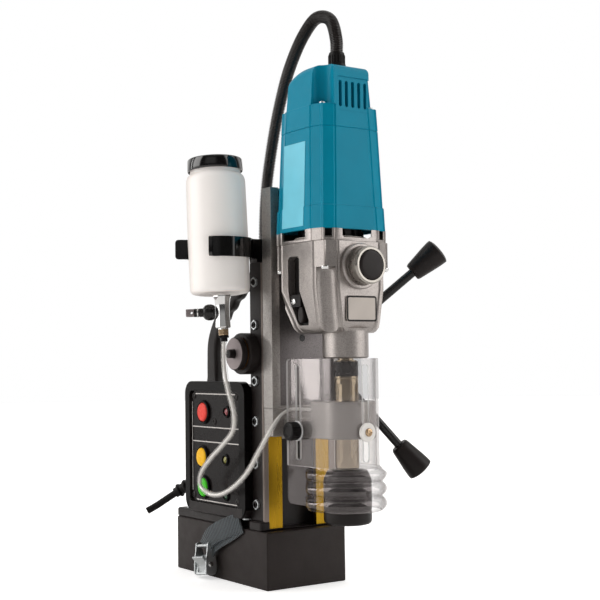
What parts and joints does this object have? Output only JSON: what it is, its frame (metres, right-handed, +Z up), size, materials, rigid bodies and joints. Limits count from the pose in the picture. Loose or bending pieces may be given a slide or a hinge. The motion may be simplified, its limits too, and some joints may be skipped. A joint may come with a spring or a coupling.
{
  "type": "magnetic drill press",
  "caption": "Electromagnet-based drill press: rack-fed motor head on a dovetail column, capstan handles, coolant bottle, clear chip guard and side control panel.",
  "frame": {"origin": "centre of the magnet's bottom face", "axes": "+Z up along the column, -Y towards the drill side, +X towards the capstan handles; the control panel faces -X"},
  "size_m": [0.2793, 0.3546, 0.6109],
  "materials": {
    "magnet_steel": "satin brown-black",
    "copper_winding": "lacquered wire",
    "black_casting": "satin warm black paint",
    "brass": "ground",
    "black_plastic": "matte",
    "circuit_board": "solder mask",
    "red_plastic": "satin",
    "yellow_plastic": "satin",
    "green_plastic": "satin",
    "red_lens": "gloss",
    "yellow_lens": "gloss",
    "green_lens": "gloss",
    "black_rubber": "matte",
    "webbing": "woven",
    "zinc_plate": "zinc plated",
    "milky_plastic": "translucent satin",
    "gloss_black": "gloss",
    "chrome": "polished",
    "clear_hose": "clear flexible tube",
    "machined_steel": "turned",
    "black_steel": "satin",
    "hammered_silver": "hammered paint",
    "silver_paint": "satin silver",
    "label_silver": "printed plate",
    "black_oxide": "black oxide",
    "teal_plastic": "satin moulded",
    "clear_plastic": "clear polycarbonate",
    "smoked_vinyl": "soft vinyl",
    "white_nylon": "satin"
  },
  "bodies": {
    "frame": {"magnet_body": "magnet_steel", "front_coil": "copper_winding", "rear_coil": "copper_winding", "frame_casting": "black_casting", "side_cover": "black_casting", "left_gib_strip": "brass", "right_gib_strip": "brass", "carry_handle": "black_casting", "left_bearing_cap": "black_casting", "right_bearing_bush": "brass", "control_panel": "black_plastic", "circuit_board": "circuit_board", "power_lamp": "red_lens", "magnet_lamp": "yellow_lens", "motor_lamp": "green_lens", "cord_strain_relief": "black_rubber", "power_cord": "black_rubber", "safety_strap": "webbing", "buckle_frame": "zinc_plate", "coolant_bottle": "milky_plastic", "bottle_clip": "gloss_black", "tap_body": "chrome", "hose_fitting": "brass"},
    "head": {"head_slide": "hammered_silver", "rack": "machined_steel", "arbor_bracket": "hammered_silver", "arbor_bearing": "machined_steel", "gearbox_housing": "silver_paint", "gearbox_cover": "silver_paint", "rating_plate": "label_silver", "motor_housing": "teal_plastic", "motor_cap": "teal_plastic", "stator": "copper_winding", "conduit_gland": "black_rubber", "cable_conduit": "black_rubber", "coolant_hose": "clear_hose", "guard_screw": "white_nylon"},
    "capstan": {"pinion_shaft": "machined_steel", "capstan_hub": "black_casting", "spoke_1": "black_steel", "spoke_2": "black_steel", "spoke_3": "black_steel", "knob_1": "gloss_black", "knob_2": "gloss_black", "knob_3": "gloss_black"},
    "spindle": {"spindle_shaft": "machined_steel", "spindle_gear": "machined_steel", "arbor_holder": "black_oxide"},
    "lay_shaft": {"lay_gear": "machined_steel"},
    "rotor": {"armature": "machined_steel"},
    "speed_selector": {"selector_knob": "black_plastic"},
    "guard": {"chip_guard": "clear_plastic", "guard_skirt": "smoked_vinyl"},
    "guard_clamp": {"guard_knob": "black_plastic"},
    "red_switch": {"red_button": "red_plastic"},
    "yellow_switch": {"yellow_button": "yellow_plastic"},
    "green_switch": {"green_button": "green_plastic"},
    "bottle_lid": {"bottle_cap": "gloss_black"},
    "tap_handle": {"tap_lever": "black_plastic"},
    "buckle_lever": {"buckle_cam": "zinc_plate"}
  },
  "joints": [
    {"name": "head_feed", "type": "slide", "parent": "frame", "child": "head", "axis": [0, 0, 1], "range_m": [-0.065, 0.08], "deforming": ["cable_conduit", "coolant_hose"]},
    {"name": "capstan_turn", "type": "hinge", "parent": "frame", "child": "capstan", "pos_m": [0, -0.056, 0.2475], "axis": [1, 0, 0], "range_deg": [-390, 320]},
    {"name": "spindle_spin", "type": "hinge", "parent": "head", "child": "spindle", "pos_m": [0, -0.1684, 0.2], "axis": [0, 0, 1], "continuous": true},
    {"name": "lay_shaft_spin", "type": "hinge", "parent": "head", "child": "lay_shaft", "pos_m": [0.01892, -0.15622, 0.3], "axis": [0, 0, 1], "continuous": true},
    {"name": "rotor_spin", "type": "hinge", "parent": "head", "child": "rotor", "pos_m": [0, -0.145, 0.4], "axis": [0, 0, 1], "continuous": true},
    {"name": "selector_turn", "type": "hinge", "parent": "head", "child": "speed_selector", "pos_m": [0, -0.205, 0.334], "axis": [0, -1, 0], "range_deg": [0, 180]},
    {"name": "guard_slide", "type": "slide", "parent": "head", "child": "guard", "axis": [0, 0, 1], "range_m": [-0.022, 0.025]},
    {"name": "guard_clamp_turn", "type": "hinge", "parent": "head", "child": "guard_clamp", "pos_m": [-0.034, -0.128, 0.167], "axis": [-1, 0, 0], "range_deg": [0, 270]},
    {"name": "red_press", "type": "slide", "parent": "frame", "child": "red_switch", "axis": [1, 0, 0], "range_m": [0, 0.002], "stiffness_N_per_m": 400},
    {"name": "yellow_press", "type": "slide", "parent": "frame", "child": "yellow_switch", "axis": [1, 0, 0], "range_m": [0, 0.002], "stiffness_N_per_m": 400},
    {"name": "green_press", "type": "slide", "parent": "frame", "child": "green_switch", "axis": [1, 0, 0], "range_m": [0, 0.002], "stiffness_N_per_m": 400},
    {"name": "cap_turn", "type": "hinge", "parent": "frame", "child": "bottle_lid", "pos_m": [-0.081, -0.04714, 0.45088], "axis": [0, 0.0419, 0.9991], "range_deg": [0, 540]},
    {"name": "tap_turn", "type": "hinge", "parent": "frame", "child": "tap_handle", "pos_m": [-0.081, -0.0538, 0.292], "axis": [-0.8192, 0.5731, -0.024], "range_deg": [0, 90]},
    {"name": "buckle_pinch", "type": "hinge", "parent": "frame", "child": "buckle_lever", "pos_m": [-0.0595, 0.01613, 0.0136], "axis": [0, 0.9759, -0.2182], "range_deg": [0, 35]}
  ],
  "couplings": [
    {"joint": "capstan_turn", "follows": "head_feed", "rad_per_m": -83.333},
    {"joint": "lay_shaft_spin", "follows": "spindle_spin", "ratio": -2.6},
    {"joint": "rotor_spin", "follows": "spindle_spin", "ratio": 11.7}
  ]
}
